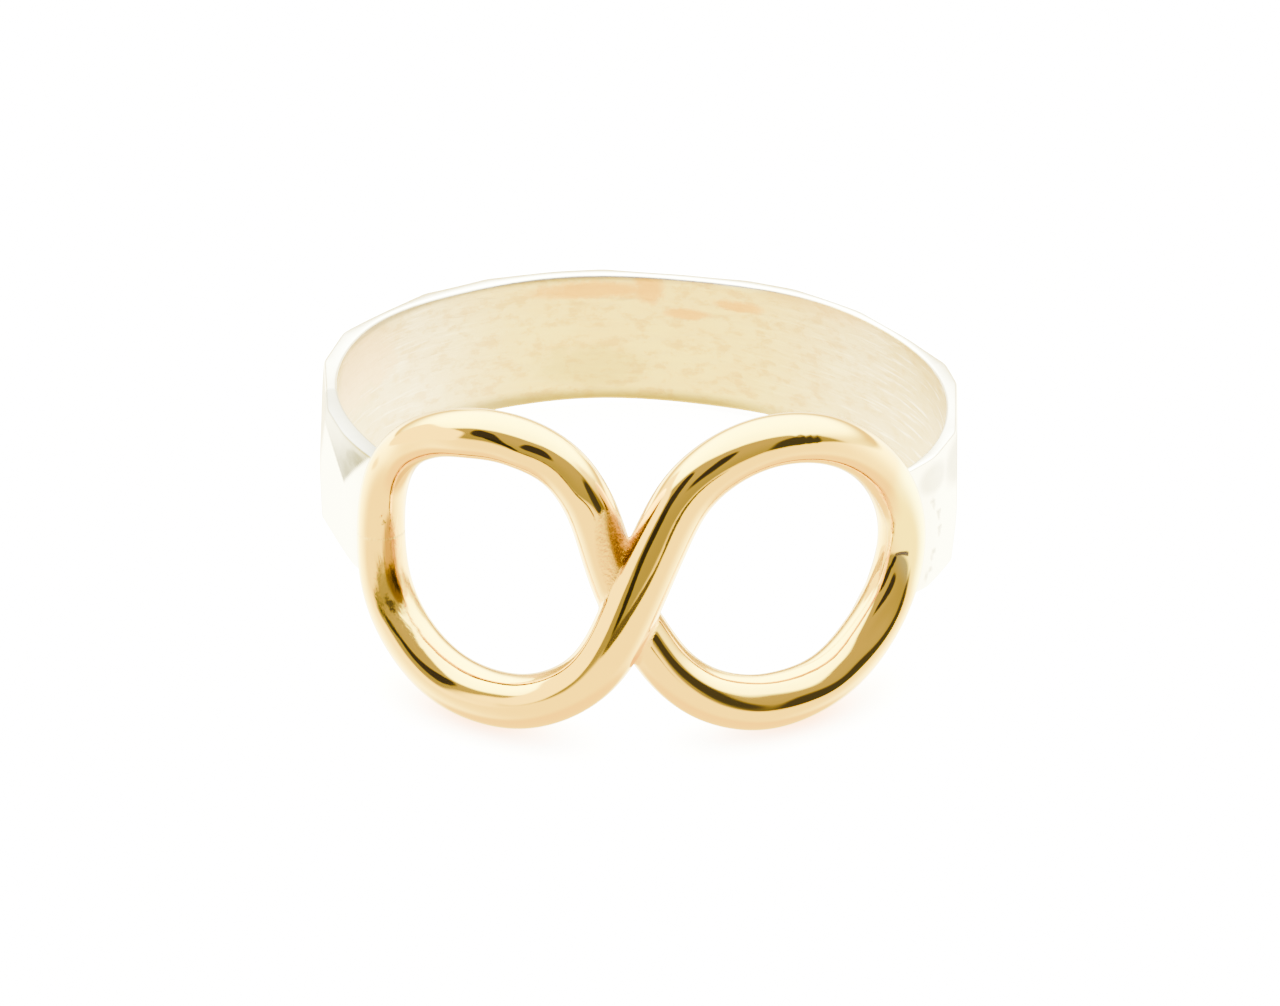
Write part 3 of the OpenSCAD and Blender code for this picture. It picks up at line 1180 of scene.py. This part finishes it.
        # Painted dark reflection on the facet at the left end, darker towards the bottom
        along = degrees - 283.0
        left_side = 11.0 - (height - 0.36) / 1.39 * 17.0
        right_side = 11.5 + (height - 0.36) / 1.39 * 10.0
        in_facet = smooth_step(along - left_side, -0.6, 0.6)
        in_facet = in_facet * smooth_step(right_side - along, -0.6, 0.6)
        deepening = 0.58 + 0.42 * smooth_step(1.9 - height + (along - 8.0) * 0.05, 0.0, 1.4)
        pits = np.zeros(len(degrees))
        pitted = ((65.3, 0.48), (67.4, 0.05), (67.7, -0.43), (65.3, -1.02), (64.1, -1.53))
        for middle, level in pitted:
            pits = np.maximum(pits, spot(middle, level, 0.9, 0.09))
            pits = np.maximum(pits, spot(middle + 0.8 * level, level - 0.14, 0.5, 0.14) * 0.8)
        # Painted shade: the left end's facet, two spots at the right end, and the pits
        layers = [
            in_facet * deepening,
            in_facet * spot(300.0, 1.25, 6.5, 0.5) * 0.975,
            spot(81.0, 1.0, 11.0, 0.85) * 0.62,
            spot(66.0, 1.15, 6.0, 0.5) * 0.5,
            pits * 0.62,
        ]
        outer_shade = np.maximum.reduce(layers)
        return np.stack([outer_shade * outside, pits, outside], 1)

    @staticmethod
    def faces(count: int, per_ring: int) -> np.ndarray:
        """Joins the sections to a closed skin.

        Args:
            count: Number of sections.
            per_ring: Points of one section.

        Returns:
            The triangles.
        """
        i, k = np.meshgrid(np.arange(count - 1), np.arange(per_ring), indexing="ij")
        a = i * per_ring + k
        b = i * per_ring + (k + 1) % per_ring
        c, d = b + per_ring, a + per_ring
        walls = np.concatenate(
            [np.stack([a, d, b], -1).reshape(-1, 3), np.stack([b, d, c], -1).reshape(-1, 3)]
        )
        k = np.arange(per_ring)
        end = (count - 1) * per_ring
        hub = count * per_ring
        start_cap = np.stack([hub + 0 * k, k, (k + 1) % per_ring], 1)
        end_cap = np.stack([hub + 1 + 0 * k, end + (k + 1) % per_ring, end + k], 1)
        return np.concatenate([walls, start_cap, end_cap])


@dataclass(frozen=True)
class Shade:
    """One area of the surroundings, seen from the ring, in degrees and light.

    Azimuth is 0 at the front and grows to the right, height is above the horizon.
    Slant is how far the area leans to the right for each degree up, and tip how far
    it rises for each degree to the right.
    """

    azimuth: float
    height: float
    wide: float
    tall: float
    light: Colour
    slant: float = 0.0
    tip: float = 0.0
    soft: float = 0.3
    power: float = 3.0


@dataclass(frozen=True)
class Tent:
    """The white light tent, with the opening that the camera looks in through."""

    white: Colour = (12.5, 13.0, 9.0)
    low_sides: Colour = (3.9, 2.7, 0.3)
    floor: Colour = (5.3, 4.1, 0.12)
    under: Colour = (4.6, 3.1, 0.1)
    far_floor: Colour = (14.0, 13.4, 8.0)
    far_sky: Colour = (20.0, 20.5, 17.0)
    opening: Shade = Shade(-6.0, 4.0, 84.0, 61.0, (1.1, 0.88, 0.95), soft=0.12, power=2.3)
    opening_low: Colour = (0.8, 0.66, 0.7)
    far_low: Colour = (3.2, 2.4, 0.5)
    back_floor: Colour = (6.2, 5.3, 2.4)
    inside: tuple[Shade, ...] = (
        Shade(-8.0, -1.0, 30.0, 2.6, (0.22, 0.18, 0.5), tip=-0.12, soft=0.35, power=4.0),
        Shade(-53.0, 30.0, 10.5, 14.0, (0.07, 0.062, 0.35), slant=-0.45, soft=0.3),
        Shade(-40.0, 13.0, 7.5, 8.5, (0.05, 0.045, 0.2), slant=-0.7, soft=0.3),
        Shade(-7.0, 36.0, 15.0, 14.0, (0.07, 0.062, 0.35), slant=0.5, soft=0.4),
        Shade(54.0, 14.0, 13.0, 17.0, (0.10, 0.09, 0.4), slant=0.25, soft=0.5),
        Shade(-92.0, 7.0, 31.0, 22.0, (7.0, 5.6, 0.5), slant=-0.15, soft=0.25, power=4.0),
    )
    seen: Colour = (24.0, 24.0, 24.0)
    strength: float = 1.15

    @staticmethod
    def mask(shade: Shade, round_way: Field, rise: Field) -> Field:
        """Makes the soft-edged mask of one area.

        Args:
            shade: The area.
            round_way: Azimuth of the direction that is looked in.
            rise: Its height.

        Returns:
            1 inside and 0 outside.
        """
        upward = rise - shade.height - (round_way - shade.azimuth) * shade.tip
        across = (round_way - shade.azimuth - upward * shade.slant) / shade.wide
        apart = across.size().power(shade.power) + (upward / shade.tall).size().power(shade.power)
        return apart.rise(1.0 + shade.soft, 1.0 - shade.soft)

    def build(self) -> None:
        """Makes the tent as the scene's world."""
        world = bpy.data.worlds.new("light_tent")
        bpy.context.scene.world = world
        world.use_nodes = True
        desk = NodeDesk(world.node_tree)
        x, y, z = desk.parts(desk.node("ShaderNodeTexCoord", {}, {}, "Generated"))
        rise = z.math("ARCSINE") * (180 / math.pi)
        round_way = x.math("ARCTAN2", -y) * (180 / math.pi)
        behind = y.rise(-0.6, 0.6)
        room = desk.blend(rise.rise(45.0, 5.0), self.opening.light, self.opening_low)
        far = desk.blend(round_way.size().rise(148.0, 168.0), self.far_floor, self.back_floor)
        floor = desk.painted(
            self.floor,
            (rise.rise(-45.0, -65.0), self.under),
            (behind * rise.rise(-58.0, -42.0), far),
        )
        looked_at = desk.node("ShaderNodeLightPath", {}, {}, "Is Camera Ray")
        colour = desk.painted(
            self.white,
            (behind * rise.rise(12.0, 35.0), self.far_sky),
            (rise.rise(48.0, 6.0) * (1.0 - behind), self.low_sides),
            (behind * rise.rise(24.0, 8.0), self.far_low),
            (self.mask(self.opening, round_way, rise), room),
            (rise.rise(4.0, -2.0), floor),
            *((self.mask(shade, round_way, rise), shade.light) for shade in self.inside),
            (looked_at, self.seen),
        )
        light = desk.node("ShaderNodeBackground", {}, {"Color": colour, "Strength": self.strength})
        desk.put("ShaderNodeOutputWorld", {}, {"Surface": light})


@dataclass(frozen=True)
class Table:
    """The white table that the ring lies on, with a painted warm glow of the gold's reflected
    light where the loops touch it.
    """

    place: RestingPlace
    size: float = 900.0
    glow: float = 12.0
    matt: Colour = (0.8, 0.8, 0.8)
    # Painted warm glow of the gold's reflected light under the loops
    reflected_glow_colour: Colour = (0.66, 0.34, 0.12)
    warm_radius: float = 9.9
    warm_reach: float = 1.8
    loop_middle: float = 4.4
    loop_reach: float = 4.0

    def build(self) -> None:
        """Lays the table under the ring, where only the camera sees it.

        The metal mirrors the lower half of the light tent instead.
        """
        half = self.size / 2
        points = np.array([[-half, -half, 0], [half, -half, 0], [half, half, 0], [-half, half, 0]])
        table = mesh_piece("table", points.astype(float), np.array([[0, 1, 2, 3]]))
        material, desk = new_material("white_table")
        x, y, _ = desk.parts(desk.node("ShaderNodeTexCoord", {}, {}, "Object"))
        x = x / MM - float(self.place.origin[0])
        y = y / MM - float(self.place.origin[1])
        across = x.size().hump(self.loop_middle, self.loop_reach)
        round_ring = (x * x + y * y).power(0.5).hump(self.warm_radius, self.warm_reach)
        # Painted warm glow of the gold's reflected light, under each loop near where it touches
        warm = across * round_ring * y.rise(-3.0, -7.0)
        inputs = {
            "Base Color": desk.blend(warm, self.matt, self.reflected_glow_colour),
            "Roughness": 1.0,
            "Specular IOR Level": 0.0,
            "Emission Color": desk.blend(warm, (1.0, 1.0, 1.0), self.reflected_glow_colour),
            "Emission Strength": self.glow,
        }
        surface = desk.node("ShaderNodeBsdfPrincipled", {}, inputs)
        desk.put("ShaderNodeOutputMaterial", {}, {"Surface": surface})
        table.data.materials.append(material)
        table.visible_glossy = False
        table.visible_diffuse = False


@dataclass(frozen=True)
class Camera:
    """The camera, which stands where the photograph was taken from."""

    place: RestingPlace
    distance: float = 260.0
    rise_over_ring: float = 23.29
    pixels_per_mm: float = 35.13
    ring_pixel: tuple[float, float] = (639.1, 452.7)
    sensor: float = 36.0

    def build(self) -> None:
        """Sets the camera up."""
        rise = math.radians(self.rise_over_ring) + self.place.tilt
        right = np.array([1.0, 0.0, 0.0])
        up = np.array([0.0, math.sin(rise), math.cos(rise)])
        ahead = np.array([0.0, math.cos(rise), -math.sin(rise)])
        shift_right = (PHOTO_WIDTH / 2 - self.ring_pixel[0]) / self.pixels_per_mm
        shift_up = (self.ring_pixel[1] - PHOTO_HEIGHT / 2) / self.pixels_per_mm
        eye = self.place.origin - ahead * self.distance + right * shift_right + up * shift_up
        data = bpy.data.cameras.new("camera")
        data.sensor_width = self.sensor
        data.lens = self.sensor * self.pixels_per_mm * self.distance / PHOTO_WIDTH
        data.clip_start, data.clip_end = 0.01, 10.0
        camera = put_in_scene("camera", data)
        camera.location = Vector(eye * MM)
        camera.rotation_euler = (math.pi / 2 - rise, 0.0, 0.0)
        bpy.context.scene.camera = camera


def dress(piece: bpy.types.Object, node: str) -> None:
    """Lets a finished piece stand for its node.

    Args:
        piece: The finished piece.
        node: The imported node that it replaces.
    """
    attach(piece, "root")
    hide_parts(node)
    log.info("%s: %d faces, for %s", piece.name, len(piece.data.polygons), node)


def main() -> None:
    """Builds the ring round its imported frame."""
    logging.basicConfig(level=logging.INFO)
    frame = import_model()
    place = RestingPlace.of_record(frame["record"])
    finger_r = frame["record"]["mounts"][0]["dims"]["r_mm"]
    Table(place).build()
    Tent().build()
    Camera(place).build()
    wire = WireFigure(place, finger_r)
    dress(wire.build(), "infinity_wire")
    dress(HammeredBand(place, wire).build(), "band")


if __name__ == "__main__":
    main()
